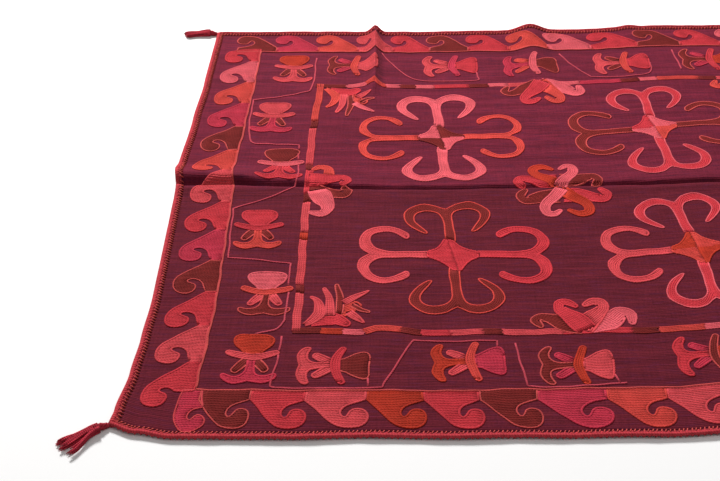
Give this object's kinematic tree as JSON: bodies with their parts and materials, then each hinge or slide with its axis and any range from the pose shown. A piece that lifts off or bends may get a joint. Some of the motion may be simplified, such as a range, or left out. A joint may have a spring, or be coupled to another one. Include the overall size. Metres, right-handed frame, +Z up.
{
  "type": "embroidered kilim rug",
  "caption": "Flat-woven oblong floor rug with raised wool embroidery, a plaited cord round its edge and a yarn tassel at each corner, lying flat with soft storage creases",
  "frame": {"origin": "centre of the rug's overall box, on the floor it lies on", "axes": "+X along the rug's length, +Y across its width towards the edge with the creases, +Z up"},
  "size_m": [1.97, 1.2865, 0.0245],
  "materials": {
    "woven_wool": "flat-woven plum wool with fine ribs along the length, under chain-stitched wool in reds, pinks, rust and brown",
    "edge_cord": "red and pink plaited wool cord",
    "tassel_yarn": "crimson wool yarn"
  },
  "bodies": {
    "root": {"cloth": "woven_wool", "edge_cord_near": "edge_cord", "edge_cord_far": "edge_cord", "edge_cord_left": "edge_cord", "edge_cord_right": "edge_cord", "tassel_near_left": "tassel_yarn", "tassel_far_left": "tassel_yarn", "tassel_near_right": "tassel_yarn", "tassel_far_right": "tassel_yarn"}
  },
  "joints": []
}
